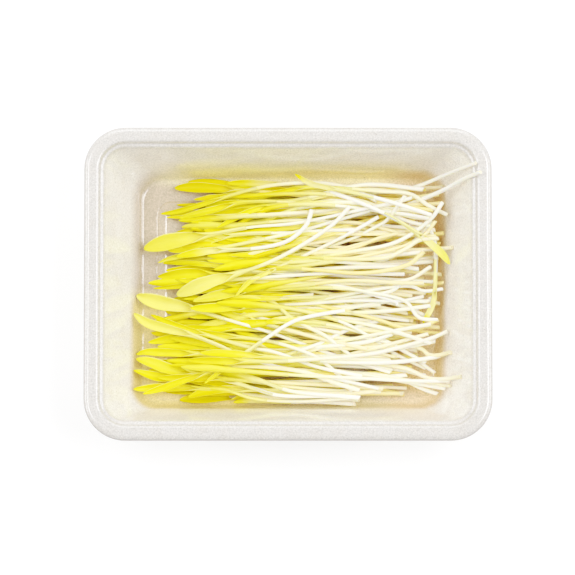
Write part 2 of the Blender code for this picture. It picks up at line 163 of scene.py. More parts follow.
def mouldedPulp():
    made, tree, shader = newMaterial("moulded pulp")
    where = addNode(tree, "TexCoord").node.outputs["Object"]
    axes = dict(zip("XYZ", addNode(tree, "SeparateXYZ", links={"Vector": where}).node.outputs))
    for name, axis in (("endward", "X"), ("aside", "Y")):
        axes[name] = addNode(tree, "Math", {"operation": "ABSOLUTE"}, links={0: axes[axis]})
    # the colour by height paints shade on the floor and tones the rim down for the light it gets
    share = addNode(tree, "MapRange", values={"From Max": tray["height"] * mm}, links={"Value": axes["Z"]})
    upward = setRamp(addNode(tree, "ValToRGB", links={"Fac": share}), pulp["upward"])
    noises = []
    for size, detail, roughness, distortion in ((pulp["mottleSize"], 5.0, 0.62, 0.0),
                                                (pulp["grain"], 3.0, 0.8, 0.0),
                                                (pulp["fibreWidth"], 4.0, 0.7, 1.5)):
        # the grain of its fibres is drawn a little coarser than it is so that it shows
        noises.append(addNode(tree, "TexNoise", values={"Scale": 1 / (size * mm), "Detail": detail,
                              "Roughness": roughness, "Distortion": distortion}, links={"Vector": where}))
    mottle, grain, fibres = noises
    least, most = pulp["thickRange"]
    thicker = addNode(tree, "MapRange", values={"From Min": least, "From Max": most, "To Max":
                      pulp["thickShare"]}, links={"Value": mottle})
    layers = [(thicker, pulp["thick"])]
    lipEdgeShade, foot, within = traitsOf(tree)[:3]
    for colour, *fadings in pulp["paintedHeapLightAndShade"]:
        # each patch of painted light and shade is strong only inside, and where all its fadings are
        amount = within
        for way, least, most in fadings:
            fading = addNode(tree, "MapRange", {"interpolation_type": "SMOOTHSTEP"},
                             {"From Min": least * mm, "From Max": most * mm}, {"Value": axes[way]})
            amount = addNode(tree, "Math", {"operation": "MULTIPLY"}, links={0: fading, 1: amount})
        layers.append((amount, colour))
    # painted shade on the outside, along the lip's edge and in the groove at the panel's foot
    for trait, (colour, least, most) in ((within, pulp["inside"]), (lipEdgeShade, pulp["lipEdgeShade"]),
                                         (foot, pulp["foot"])):
        amount = addNode(tree, "MapRange", values={"To Min": least, "To Max": most}, links={"Value": trait})
        layers.append((amount, colour))
    colour = upward
    for amount, over in layers:
        colour = addNode(tree, "Mix", {"data_type": "RGBA"}, {"B": linear(over)},
                         {"Factor": amount, "A": colour})
    colour = shadedBy(tree, colour, grain, 1 - pulp["grainStrength"], 1 + pulp["grainStrength"])
    # flecks are small cells of bark, each as likely as its cell's random value says
    spacing = pulp["fleckSpacing"]
    cells = addNode(tree, "TexVoronoi", values={"Scale": 1 / (spacing * mm)}, links={"Vector": where})
    near = addNode(tree, "MapRange", values={"From Min": pulp["fleckSize"] / spacing,
                   "From Max": 0.5 * pulp["fleckSize"] / spacing}, links={"Value": cells})
    chance = addNode(tree, "SeparateColor", links={"Color": cells.node.outputs["Color"]})
    picked = addNode(tree, "Math", {"operation": "MULTIPLY"}, links={0: near, 1: chance})
    flecked = addNode(tree, "Mix", {"data_type": "RGBA"}, {"B": linear(pulp["fleck"])},
                      {"Factor": picked, "A": colour})
    relief = addNode(tree, "Bump", values={"Strength": pulp["reliefStrength"],
                     "Distance": pulp["relief"] * mm}, links={"Height": fibres})
    tree.links.new(flecked, shader.inputs["Base Color"])
    tree.links.new(relief, shader.inputs["Normal"])
    setInputs(shader, {"Roughness": pulp["roughness"], "Coat Weight": pulp["film"],
                       "Coat Roughness": pulp["filmRoughness"], "Coat IOR": pulp["filmIor"]})
    return made


# Etiolated corn leaf: grown in the dark, so it has no green. It is thin, satin and lets light
# through, with fine veins along it. Its colour runs from the tip's yellow to the pale foot.
leafLook = {
    "toned": ((0.0, "#EEE463"), (0.4, "#E5D91B"), (1.0, "#DAC600")), "foot": "#EDE38A",
    "fadeFrom": 0.12, "fadeTo": 0.5, "edge": "#F0E88E", "edgeWidth": 0.03, "edgeShare": 0.7,
    "ribs": 44, "ribDetail": 3.0, "ribShades": (0.93, 1.04), "relief": 0.05,
    "roughness": 0.42, "shine": 0.3, "glow": 0.3, "glowDepth": 0.3,
    # how deep each kind's yellow is, and how soon it fades along the shoot. The lower kinds' deeper yellow is
    # painted shade.
    "top": {"tones": (0.1, 0.6), "fading": (0.8, 1.2)}, "woven": {"tones": (0.3, 0.9), "fading": (0.75, 1.1)},
    "low": {"tones": (0.6, 1.0), "fading": (0.65, 0.95)},
    "wide": 6.0, "wideTones": (0.0, 0.25), "shortFading": 2.3,
    "own": {"shoot_04": {"tones": (0.9, 1.0)}, "shoot_39": {"tones": (0.0, 0.1)},
            "shoot_40": {"tones": (0.2, 0.4), "fading": (2.0, 2.2)}},
}
# Its stem, the rolled sheaths round the bud, is near white, waxy and a little see-through, with a
# tan rim where the knife went through. The lower ones get a creamier painted warm shade.
stemLook = {
    "along": ((0.34, "#F6EA7C"), (0.56, "#F8F4D0"), (0.9, "#F7F4E2")),
    "warmPaintedShade": "#F0DA76", "warmShadeFrom": 0.4, "warmShadeStrength": 0.9, "cut": "#E6D6A8",
    "ribs": 16, "ribDetail": 2.0, "ribShades": (0.96, 1.03), "relief": 0.03,
    "roughness": 0.36, "shine": 0.4, "glow": 0.4, "glowDepth": 0.6,
}
wax = {"ior": 1.45, "reliefStrength": 0.6, "glowRadius": (1.0, 0.8, 0.25), "cellsPerCentimetre": 1.6}


def ribsOf(tree, look):
    # noise drawn out along the piece's own UV map, for veins and ridges
    drawn = addNode(tree, "TexCoord").node.outputs["UV"]
    scale = (look["ribs"], wax["cellsPerCentimetre"], 1.0)
    placed = addNode(tree, "Mapping", values={"Scale": scale}, links={"Vector": drawn})
    return addNode(tree, "TexNoise", values={"Scale": 1.0, "Detail": look["ribDetail"], "Roughness": 0.6},
                   links={"Vector": placed})


def finishWaxy(tree, shader, look, colour, ribs):
    relief = addNode(tree, "Bump", values={"Strength": wax["reliefStrength"],
                     "Distance": look["relief"] * mm}, links={"Height": ribs})
    tree.links.new(colour, shader.inputs["Base Color"])
    tree.links.new(relief, shader.inputs["Normal"])
    setInputs(shader, {"Roughness": look["roughness"], "IOR": wax["ior"], "Specular IOR Level":
                       look["shine"], "Subsurface Weight": look["glow"], "Subsurface Radius":
                       wax["glowRadius"], "Subsurface Scale": look["glowDepth"] * mm})


def cornLeaf():
    made, tree, shader = newMaterial("corn leaf")
    along, tone = traitsOf(tree)[:2]
    toned = setRamp(addNode(tree, "ValToRGB", links={"Fac": tone}), leafLook["toned"])
    fade = addNode(tree, "MapRange", {"interpolation_type": "SMOOTHSTEP"},
                   {"From Min": leafLook["fadeFrom"], "From Max": leafLook["fadeTo"]}, {"Value": along})
    faded = addNode(tree, "Mix", {"data_type": "RGBA"}, {"B": linear(leafLook["foot"])},
                    {"Factor": fade, "A": toned})
    ribs = ribsOf(tree, leafLook)
    shaded = shadedBy(tree, faded, ribs, *leafLook["ribShades"])
    # the blade's margin is thinner and paler
    drawn = addNode(tree, "TexCoord").node.outputs["UV"]
    around = addNode(tree, "SeparateXYZ", links={"Vector": drawn})
    across = addNode(tree, "Math", {"operation": "PINGPONG"}, {1: 0.25}, {0: around})
    margin = addNode(tree, "MapRange", values={"From Min": leafLook["edgeWidth"], "From Max": 0.0,
                     "To Max": leafLook["edgeShare"]}, links={"Value": across})
    edged = addNode(tree, "Mix", {"data_type": "RGBA"}, {"B": linear(leafLook["edge"])},
                    {"Factor": margin, "A": shaded})
    finishWaxy(tree, shader, leafLook, edged, ribs)
    return made


def cornStem():
    made, tree, shader = newMaterial("corn stem")
    along, tone, cut = traitsOf(tree)[:3]
    colour = setRamp(addNode(tree, "ValToRGB", links={"Fac": along}), stemLook["along"])
    # shoots of a deeper tone lie lower in the heap, and their stems get a warm painted shade
    amount = addNode(tree, "MapRange", {"interpolation_type": "SMOOTHSTEP"},
                     {"From Min": stemLook["warmShadeFrom"], "To Max": stemLook["warmShadeStrength"]}, {"Value": tone})
    warmPaintedShade = addNode(tree, "Mix", {"data_type": "RGBA"}, {"B": linear(stemLook["warmPaintedShade"])},
                     {"Factor": amount, "A": colour})
    ribs = ribsOf(tree, stemLook)
    shaded = shadedBy(tree, warmPaintedShade, ribs, *stemLook["ribShades"])
    ended = addNode(tree, "Mix", {"data_type": "RGBA"}, {"B": linear(stemLook["cut"])},
                    {"Factor": cut, "A": shaded})
    finishWaxy(tree, shader, stemLook, ended, ribs)
    return made


def traitsFrom(first, second, third):
    return np.stack([np.broadcast_to(share, first.shape) for share in (first, second, third, 1.0)], axis=-1)


# Meshes: a grid of faces is moved on to the places row by row, and its two sides are joined

def wrapGrid(shape, places, materialIndex, traits, uvLength=1.0):
    rows, columns = places.shape[:2]
    uvLayer = shape.loops.layers.uv.verify()
    layer = shape.verts.layers.float_color.get("traits") or shape.verts.layers.float_color.new("traits")
    made = bmesh.ops.create_grid(shape, x_segments=columns - 1, y_segments=rows - 1, size=0.5, calc_uvs=True)
    verts = made["verts"]
    for vert, place, value in zip(verts, places.reshape(-1, 3), traits.reshape(-1, 4)):
        vert.co = Vector(place) * mm
        vert[layer] = value
    for face in {face for vert in verts for face in vert.link_faces}:
        face.material_index = materialIndex
        face.smooth = True
        for loop in face.loops:
            loop[uvLayer].uv.y *= uvLength
    sides = [verts[row * columns + end] for row in range(rows) for end in (0, columns - 1)]
    # in a fixed order, so that the same ones are kept each run
    joined = dict.fromkeys([*sides, *verts[:columns], *verts[-columns:]])
    bmesh.ops.remove_doubles(shape, verts=list(joined), dist=0.001 * mm)


def addObject(name, data):
    made = bpy.data.objects.new(name, data)
    bpy.context.scene.collection.objects.link(made)
    return made


def addMesh(name, shape, materials):
    mesh = bpy.data.meshes.new(name)
    shape.to_mesh(mesh)
    shape.free()
    for material in materials:
        mesh.materials.append(material)
    return addObject(name, mesh)


def addPiece(name, shape, materials):
    # holes at the ends are filled, faces turned out, and the mesh becomes a piece
    bmesh.ops.holes_fill(shape, edges=[edge for edge in shape.edges if edge.is_boundary], sides=0)
    bmesh.ops.recalc_face_normals(shape, faces=shape.faces)
    piece = addMesh(name, shape, materials)
    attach(piece, "root")
    return piece


# The tray: rings from the raised panel in its floor to the lip's edge, and back underneath.
# Each ring is its half length, half width, corner radius and height.
tray = {
    "rim": (170.0, 131.0, 17.5), "floor": (122.0, 92.4, 7.0), "panel": (106.6, 72.6, 4.0),
    "height": 40.0, "sheet": 1.2, "fillet": 2.4, "panelRise": 1.2, "panelSlope": 2.8,
    "wallInset": 8.6, "wallDrop": 3.2, "ledgeInset": 7.9, "ledgeDrop": 2.0,
    "stepInset": 6.9, "stepSlope": 0.7, "ridgeInset": 5.4, "ridgeRound": 0.4,
    "lipRound": 1.9, "lipDrop": 3.6, "lipAngles": (0, 45, 90),
}
trayMesh = {
    "cornerSteps": 16, "sideSteps": 24, "softness": 0.9, "softSteps": 5, "longestSpan": 4.0,
    "round": 2.9, "roundSteps": 9, "edgeFrom": -2.7, "edgeRound": 1.8, "edgeSteps": 6, "edgeSlope": 0.344,
    "groove": 0.3, "grooveDepth": 0.2, "lipWaver": 0.12,
    # each wave's share, count and phase
    "waves": ((0.5, 5, 1.0), (0.3, 11, 2.0), (0.2, 23, 0.0)),
}


def ring(outline, outset, height):
    length, width, corner = tray[outline]
    return (length / 2 + outset, width / 2 + outset, corner + outset, height)


def rimRing(inset, drop):
    return ring("rim", -inset, tray["height"] - drop)


def lipRings(radius):
    # the rounding from the rim's top to its side, a quarter circle
    angles = [math.radians(angle) for angle in tray["lipAngles"]]
    return [rimRing(tray["lipRound"] - radius * math.sin(angle), tray["lipRound"] - radius * math.cos(angle))
            for angle in angles]


def trayInside():
    sheet, fillet = tray["sheet"], tray["fillet"]
    return [
        ring("panel", 0.0, sheet + tray["panelRise"]),
        ring("panel", tray["panelSlope"], sheet),
        ring("floor", 0.0, sheet),
        ring("floor", 0.6 * fillet, sheet + 0.25 * fillet),
        ring("floor", fillet, sheet + 0.9 * fillet),
        rimRing(tray["wallInset"], tray["wallDrop"]),
        rimRing(tray["ledgeInset"], tray["ledgeDrop"]),
        rimRing(tray["stepInset"], tray["ledgeDrop"]),
        rimRing(tray["stepInset"] - tray["stepSlope"], tray["ridgeRound"]),
        rimRing(tray["ridgeInset"], 0.0),
        *lipRings(tray["lipRound"]),
        rimRing(0.0, tray["lipDrop"]),
    ]


def trayUnderside():
    sheet, fillet = tray["sheet"], tray["fillet"]
    return [
        rimRing(sheet, tray["lipDrop"]),
        *reversed(lipRings(tray["lipRound"] - sheet)),
        rimRing(tray["ridgeInset"] - tray["ridgeRound"], sheet),
        rimRing(tray["ridgeInset"], tray["ledgeDrop"] + sheet),
        rimRing(tray["wallInset"] - sheet, tray["wallDrop"] + sheet / 2),
        ring("floor", fillet + sheet, sheet + 0.7 * fillet),
        ring("floor", fillet, 0.2 * fillet),
        ring("floor", 0.4 * fillet, 0.0),
        ring("panel", tray["panelSlope"] + sheet / 2, 0.0),
        ring("panel", sheet / 2, tray["panelRise"]),
    ]


def fineInside():
    # the panel rounds over to a gentle slope with a fine groove at its foot, and the wall meets the
    # floor in a round. How far out the groove is comes with the rings.
    inside = trayInside()
    panelFoot, wallFoot, wallTop = (np.array(inside[i]) for i in (1, 4, 5))
    sheet, groove, slope = tray["sheet"], trayMesh["groove"], trayMesh["edgeSlope"]
    start, end = trayMesh["edgeFrom"], trayMesh["edgeFrom"] + trayMesh["edgeRound"]
    edge = []
    for outset in np.linspace(start, end, trayMesh["edgeSteps"]):
        drop = slope * (outset - start) ** 2 / (2 * (end - start))
        edge.append(ring("panel", outset, sheet + tray["panelRise"] - drop))
    foot = end + (edge[-1][3] - sheet) / slope
    edge += [ring("panel", foot, sheet), ring("panel", foot + groove, sheet - trayMesh["grooveDepth"]),
             ring("panel", foot + 2 * groove, sheet)]
    corner = mix(wallTop, wallFoot, (wallTop[3] - sheet) / (wallTop[3] - wallFoot[3]))
    start, end = (corner + (toward - corner) * trayMesh["round"] / np.linalg.norm(toward - corner)
                  for toward in (panelFoot, wallTop))
    rounded = roundedOff(start, corner, end, trayMesh["roundSteps"])
    return [*edge, *rounded, *inside[5:]], foot + groove


def softenedRings(rings):
    # every corner of the profile is rounded as wet pulp rounds it, and long spans are split
    rings = np.array(rings)
    soft = [rings[0]]
    for before, here, after in zip(rings, rings[1:], rings[2:]):
        start, end = (mix(here, other, min(trayMesh["softness"] / np.linalg.norm(here - other), 0.45))
                      for other in (before, after))
        soft += roundedOff(start, here, end, trayMesh["softSteps"])
    soft.append(rings[-1])
    split = [soft[0]]
    for before, after in zip(soft, soft[1:]):
        pieces = math.ceil(np.linalg.norm(after - before) / trayMesh["longestSpan"])
        split += [mix(before, after, (i + 1) / pieces) for i in range(pieces)]
    return np.array(split)


def ringPlaces(halfX, halfY, radius, height):
    # round the corners in even turns and along the sides in even steps, back to the first place
    turns, steps = trayMesh["cornerSteps"], trayMesh["sideSteps"]
    points = []
    for corner, (signX, signY) in enumerate(((1, 1), (-1, 1), (-1, -1), (1, -1), (1, 1))):
        angles = [math.radians(90.0 * (corner + i / turns)) for i in range(turns + 1)]
        arc = [np.array((signX * (halfX - radius) + radius * math.cos(angle),
                         signY * (halfY - radius) + radius * math.sin(angle), height)) for angle in angles]
        if points:
            points += [mix(points[-1], arc[0], i / steps) for i in range(1, steps)]
        points += arc
    return np.array(points[:-turns])


def buildTray(material):
    inside, grooveAt = fineInside()
    rings = softenedRings(inside + trayUnderside())
    places = np.array([ringPlaces(*each) for each in rings])
    x, y, z = places[..., 0], places[..., 1], places[..., 2]
    halfLength, halfWidth, radius, top = rimRing(0.0, 0.0)
    # the lip's edge wavers a little where the pulp was trimmed
    turn = np.linspace(0.0, 2 * math.pi, places.shape[1])
    waver = sum(share * np.sin(count * turn + phase) for share, count, phase in trayMesh["waves"])
    outer = np.maximum(np.abs(x) - halfLength, np.abs(y) - halfWidth)
    z += trayMesh["lipWaver"] * waver * (smoothstep(-3.0, 0.0, outer) * smoothstep(top - 1.0, top - 3.0, z))
    # painted shade is marked for the material along the lip's trimmed edge, where its side turns from the
    # light, and in the groove at the panel's foot. The inside is marked too, and shade is painted outside it.
    # painted shade along the lip's trimmed outer edge
    lipEdgeShade = smoothstep(-0.7, -0.25, distanceOutside(x, y, halfLength, halfWidth, radius))
    fromGroove = np.abs(distanceOutside(x, y, *ring("panel", grooveAt, 0.0)[:3]))
    # painted shade in the fine groove at the panel's foot
    grooveShade = smoothstep(0.5, 0.1, fromGroove) * (z > 0.5)
    outermost = np.argmax(rings[:, 0] > halfLength - 0.001)
    within = (np.arange(len(rings)) < outermost)[:, None] * np.ones_like(lipEdgeShade)
    shape = bmesh.new()
    wrapGrid(shape, places, 0, traitsFrom(lipEdgeShade, grooveShade, within))
    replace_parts(addPiece("fibre_tray", shape, [material]), "tray")


# How the shoots lie: the rule of the solids, repeated with the same draws
shoot = {
    "stemRadius": 0.92, "bladeThickness": 0.68, "tipWidth": 0.9, "widestAt": 10.0, "flatTo": 14.0,
    "leafEnd": 36.0, "leafStations": (0.0, 3.0, 10.0, 20.0, 36.0), "mostLeafShare": 0.45,
    "fullBladeWidth": 4.0, "stemSteps": 4,
}
lying = {
    "gap": 0.3, "cell": 0.5, "stiffness": 10.0, "limpStiffness": 2.0, "sinking": 0.4, "sinkingRounds": 4,
    "sinkingSteps": 160, "clearingSteps": 20, "stepsAlong": 40, "stepsAcross": 25, "lineSteps": 16,
}
sprays = {
    "seed": 11, "count": 16, "inLayer": 6, "pitch": 13.6, "layerShift": 4.5, "layerReach": 4.0,
    "frontTipsFrom": -62.0, "backTipsFrom": -52.0, "tipRange": 28.0, "tipPitch": 5.3, "tipStray": 0.8,
    "lengths": (94.0, 116.0), "cuts": (42.0, 58.0), "cutPitch": 3.2, "cutStray": 0.5,
    "bladeWidths": (2.2, 5.2), "folds": (-0.2, 0.2), "mostRoll": 30.0,
    "cutOrder": (1, 3, 0, 2), "crossings": ((0, 2), (1, 2), (1, 3)),
    "leastRise": 0.45, "mostRise": 0.7, "liftReach": 25.0, "tieRounds": 12,
}
stations = len(shoot["leafStations"]) + shoot["stemSteps"]
stepsAlong = linearShares(lying["stepsAlong"] * (stations - 1) + 1, stations)
stepsAcross = linearShares(lying["stepsAcross"], 3)

# The top layer: x and y in turn from leaf tip to cut end, then the blade's width, its fold and its
# roll in degrees
topShoots = (
    ((-26, 46, -14, 46, 10, 45, 41, 45), 3.0, 0.2, 15),
    ((-35, 36, -12, 37, 15, 39, 34, 41, 52, 43, 66, 47, 78, 50), 4.0, 0.2, 10),
    ((-25, 27, 5, 29, 39, 33, 54, 37, 66, 41, 73, 44, 80, 46), 3.0, 0.2, -10),
    ((-48, 44, -38, 44, -14, 42, 3, 40, 24, 38, 61, 33), 4.4, 0.2, 0),
    ((-46, 31, -31, 34, -19, 37, -2, 37, 18, 35, 51, 33), 3.2, 0.2, -15),
    ((-54, 33, -46, 34, -31, 38, -13, 43, 1, 45, 15, 45, 28, 42, 37, 37), 2.2, 0.3, 20),
    ((-45, 27, -25, 27, 5, 29, 39, 27, 62, 25), 3.8, -0.2, 20),
    ((-55, 6, -40, 7, -27, 6, 5, 8, 47, 12, 62, 14), 4.6, 0.2, 12),
    ((-52, 12, -40, 11, -25, 9, -12, 7, 18, 6, 62, 3), 2.6, 0.3, -20),
    ((-40, -5, -25, -2, -15, 0, 4, 0, 18, -2, 45, -6, 58, -11), 4.4, 0.2, -12),
    ((-38, -15, -16, -11, 5, -10, 26, -10, 51, -13), 3.4, -0.2, -15),
    ((-64, -27, -57, -26, -29, -28, 0, -31, 40, -33, 58, -36), 3.6, 0.2, 15),
    ((-65, -34, -54, -37, -42, -37, -20, -38, 10, -40, 50, -41), 4.2, 0.2, -20),
    ((-65, -42, -51, -41, -29, -42, -16, -44, 5, -46, 30, -46), 3.6, 0.2, 12),
    ((-64, -29, -57, -31, -48, -34, -29, -37, -5, -39, 25, -38, 50, -36), 5.0, 0.2, -8),
    ((-55, -37, -25, -38, 10, -42, 39, -43), 3.6, 0.2, 15),
    ((57, -14, 61, -6, 62, 4, 62, 18, 59, 27), 2.4, 0.2, 10),
    ((-28, -1, 0, 3, 30, 9, 48, 16, 61, 28), 3.2, -0.2, -12),
    ((-55, 12, -48, 14, -25, 18, 3, 24, 18, 28, 52, 38), 2.4, 0.3, 25),
    ((-61, 18, -51, 20, -38, 22, -16, 26, 6, 28, 46, 36), 7.2, 0.15, -8),
    ((-31, 8, -8, 12, 9, 16, 26, 21, 37, 26, 42, 29, 49, 38), 3.6, -0.2, 14),
    ((-47, 14, -31, 16, -14, 17, -3, 19, 3, 22, 8, 27, 10, 33), 3.4, 0.2, -10),
    ((-64, -2, -54, -5, -40, -8, -25, -13, -8, -18, 18, -27, 43, -35), 6.2, 0.15, 8),
    ((-41, -8, -31, -8, -16, -7, 8, -6, 26, -5, 47, -5, 57, -3), 4.0, 0.15, 0),
    ((-47, -2, -38, 1, -25, 5, -10, 10, 4, 17, 18, 26, 26, 34), 6.2, 0.15, -10),
    ((-22, -3, -16, 3, -8, 7, 15, 18, 29, 25, 38, 30), 2.0, 0.3, 0),
    ((-50, -20, -20, -25, 10, -29, 43, -30), 3.2, 0.2, 16),
    ((-25, -34, -8, -30, 13, -23, 25, -17, 39, -13), 3.0, 0.2, -20),
    ((-33, -25, -10, -29, 12, -33, 32, -36, 55, -40, 66, -42), 3.0, 0.2, 10),
    ((-48, -17, -30, -19, -8, -22, 8, -27, 15, -31, 22, -37, 27, -43), 3.4, 0.2, 18),
    ((-58, -10, -47, -15, -29, -21, -15, -25, -5, -27, 12, -33, 31, -37), 2.4, 0.3, 10),
    ((-65, -10, -59, -14, -49, -17, -39, -20, -29, -24, -12, -31, 38, -42), 4.2, 0.2, 14),
    ((-61, -44, -51, -41, -29, -34, -16, -33, 5, -35, 20, -40, 30, -43), 3.0, 0.2, 0),
    ((-30, -6, -10, -7, 5, -9, 23, -14, 36, -21, 45, -27, 58, -33), 3.4, -0.2, 15),
    ((-35, -40, -27, -34, -9, -21, 0, -15, 8, -12, 24, -9), 1.8, 0.3, 0),
    ((-37, -27, -10, -29, 20, -31, 42, -31, 60, -29, 66, -27), 3.4, 0.2, -18),
    ((-42, -30, -20, -31, 0, -31, 32, -28, 46, -25, 60, -21, 67, -18), 3.4, 0.2, 20),
    ((-45, -33, -20, -35, 5, -37, 30, -38, 52, -39, 68, -39), 3.0, -0.2, 10),
    ((68, 10, 64, 15, 54, 23, 46, 28, 34, 34, 18, 41), 3.4, 0.25, 10),
    ((3, 49, 9, 45, 15, 43, 35, 38, 60, 30), 2.4, 0.3, 20),
)
limpShoots = (1, 2)    # these lean on the rim and hang from it down to the others


class Ground:
    # the highest surface in each cell of the tray's plan: the tray, then what lies in it

    def __init__(self):
        halves = [tray["rim"][axis] / 2 for axis in (0, 1)]
        lines = [np.arange(-half, half + lying["cell"], lying["cell"]) for half in halves]
        x, y = np.meshgrid(*lines, indexing="ij")
        rings = trayInside()[:-1]
        self.top = np.full(x.shape, rings[0][3])
        for inner, outer in zip(rings, rings[1:]):
            pastInner = distanceOutside(x, y, *inner[:3])
            pastOuter = distanceOutside(x, y, *outer[:3])
            share = np.clip(pastInner / np.maximum(pastInner - pastOuter, 0.001), 0.0, 1.0)
            self.top = np.where(pastInner > 0.0, mix(inner[3], outer[3], share), self.top)
        self.widen()

    def widen(self):
        # each cell takes its neighbours' height too, so nothing is missed between cells
        rows, columns = self.top.shape
        padded = np.pad(self.top, 1, mode="edge")
        self.wide = np.maximum.reduce([padded[i:i + rows, j:j + columns] for i in range(3) for j in range(3)])

    def cells(self, places):
        found = (np.rint((places[..., axis] + tray["rim"][axis] / 2) / lying["cell"]) for axis in (0, 1))
        return tuple(np.clip(i.astype(int), 0, size - 1) for i, size in zip(found, self.top.shape))

    def under(self, places):
        return self.wide[self.cells(places)]

    def add(self, places):
        np.maximum.at(self.top, self.cells(places), places[..., 2])


def smoothLine(places):
    # a smooth line through the places, in short steps
    knots = np.vstack([2 * places[0] - places[1], places, 2 * places[-1] - places[-2]])
    t = np.linspace(0.0, 1.0, lying["lineSteps"], endpoint=False)[:, None]
    pieces = []
    for a, b, c, d in zip(knots, knots[1:], knots[2:], knots[3:]):
        bend = (2 * a - 5 * b + 4 * c - d) * t ** 2 + (3 * b - a - 3 * c + d) * t ** 3
        pieces.append(b + 0.5 * ((c - a) * t + bend))
    return np.vstack(pieces + [places[-1:]])


def smoothHeights(at, places, heights):
    # a smooth curve through the heights at uneven places
    slopes = np.gradient(heights, places)
    i = np.clip(np.searchsorted(places, at) - 1, 0, len(places) - 2)
    span = places[i + 1] - places[i]
    t = (at - places[i]) / span
    blend = t * t * (3.0 - 2.0 * t)
    return (mix(heights[i], heights[i + 1], blend) + span * (slopes[i] * t * (1 - t) ** 2
            - slopes[i + 1] * t * t * (1 - t)))


class Shoot:
    # a line in plan from leaf tip to cut end, with stations whose heights are found by laying it

    def __init__(self, places, bladeWidth, fold, roll, stiffness=lying["stiffness"]):
        self.bladeWidth = bladeWidth
        self.fold = fold
        self.roll = math.radians(roll)
        self.line = smoothLine(np.array(places, float).reshape(-1, 2))
        lengths = np.linalg.norm(np.diff(self.line, axis=0), axis=1)
        self.run = np.concatenate([[0.0], np.cumsum(lengths)])
        self.length = self.run[-1]
        self.leafScale = min(1.0, shoot["mostLeafShare"] * self.length / shoot["leafEnd"])
        leaf = np.array(shoot["leafStations"]) * self.leafScale
        stem = np.linspace(leaf[-1], self.length, shoot["stemSteps"] + 1)[1:]
        self.place(np.concatenate([leaf, stem]), tray["height"])
        slopes = np.diff(np.eye(stations), axis=0) / np.diff(self.along)[:, None]
        kinks = np.diff(slopes, axis=0)
        self.straighten = np.linalg.inv(np.eye(stations) + stiffness * kinks.T @ kinks)

    def place(self, along, height):
        self.along = along
        self.x, self.y = self.plan(along)
        self.z = np.full(len(along), height)

    def plan(self, along):
        return [np.interp(along, self.run, self.line[:, axis]) for axis in (0, 1)]

    def sections(self):
        # half width, half thickness at the edges and in the middle, the edges' rise and the roll
        leaf = self.along / self.leafScale
        flat = min(1.0, self.bladeWidth / shoot["fullBladeWidth"])
        flat = flat * (1.0 - smoothstep(shoot["flatTo"], shoot["leafEnd"], leaf))
        towardTip = np.clip(1.0 - leaf / shoot["widestAt"], 0.0, 1.0)
        blade = self.bladeWidth / 2 * np.sqrt(1.0 - towardTip ** 2)
        blade = mix(blade, shoot["stemRadius"], smoothstep(shoot["widestAt"], shoot["leafEnd"], leaf))
        stemHalf = shoot["stemRadius"] * math.cos(math.radians(30))
        half = mix(stemHalf, np.maximum(blade, shoot["tipWidth"] / 2), flat)
        edge = mix(shoot["stemRadius"] / 2, shoot["bladeThickness"] / 2, flat)
        middle = mix(shoot["stemRadius"], shoot["bladeThickness"] / 2, flat)
        return half, edge, middle, self.fold * half * flat, self.roll * flat

    def corners(self):
        # the three corners above it and the three below it, at each step
        centre = np.stack([self.x, self.y, self.z], axis=1)
        half, edge, middle, rise, roll = [column[:, None] for column in self.sections()]
        side, up = crossAxes(centre, self.along, roll)
        left, right = centre + side * half + up * rise, centre - side * half + up * rise
        top = [left + up * edge, centre + up * middle, right + up * edge]
        below = [right - up * edge, centre - up * middle, left - up * edge]
        return np.stack(top, axis=1), np.stack(below, axis=1)

    def surfaces(self):
        # the upper and lower surface in fine steps along and across
        return [np.einsum("as,ck,skd->acd", stepsAlong, stepsAcross, side) for side in self.corners()]

    def lay(self, ground):
        # it sinks, held straight by its stiffness, as far as what lies under it allows
        for sinking in np.linspace(lying["sinking"], lying["sinking"] / 4, lying["sinkingRounds"]):
            below = self.shortOf(ground) + stepsAlong @ self.z
            for _ in range(lying["sinkingSteps"]):
                self.z = self.straighten @ (self.z - sinking)
                self.rise(below - stepsAlong @ self.z)
        for _ in range(lying["clearingSteps"]):
            self.rise(self.shortOf(ground))

    def shortOf(self, ground, gap=lying["gap"]):
        # how far each step is short of clearing what is under it
        lower = self.surfaces()[1]
        return (ground.under(lower) + gap - lower[..., 2]).max(axis=1)

    def rise(self, short):
        # each station rises as far as the fine steps beside it fall short
        self.z = self.z + (np.maximum(short, 0.0)[:, None] * stepsAlong).max(axis=0)

    def cover(self, ground):
        ground.add(self.surfaces()[0])

    def crossing(self, other):
        # the fine steps at which two shoots cross in plan
        mine, theirs = (stepsAlong @ np.stack([each.x, each.y], axis=1) for each in (self, other))
        apart = np.linalg.norm(mine[:, None] - theirs[None, :], axis=2)
        return np.unravel_index(apart.argmin(), apart.shape)

    def lift(self, step, rise):
        # raised by a smooth arch that is highest at the fine step
        if rise > 0.0:
            arch = np.exp(-((self.along - stepsAlong[step] @ self.along) / sprays["liftReach"]) ** 2)
            self.z = self.z + rise * arch / (stepsAlong[step] @ arch)

    def centre(self, along):
        return np.stack([*self.plan(along), smoothHeights(along, self.along, self.z)], axis=1)


def crossAxes(centre, along, roll):
    # the directions across and up from a line, turned about it by the roll
    heading = np.gradient(centre, along, axis=0)
    heading /= np.linalg.norm(heading, axis=1)[:, None]
    level = np.cross([0.0, 0.0, 1.0], heading)
    level /= np.linalg.norm(level, axis=1)[:, None]
    upright = np.cross(heading, level)
    return level * np.cos(roll) + upright * np.sin(roll), upright * np.cos(roll) - level * np.sin(roll)


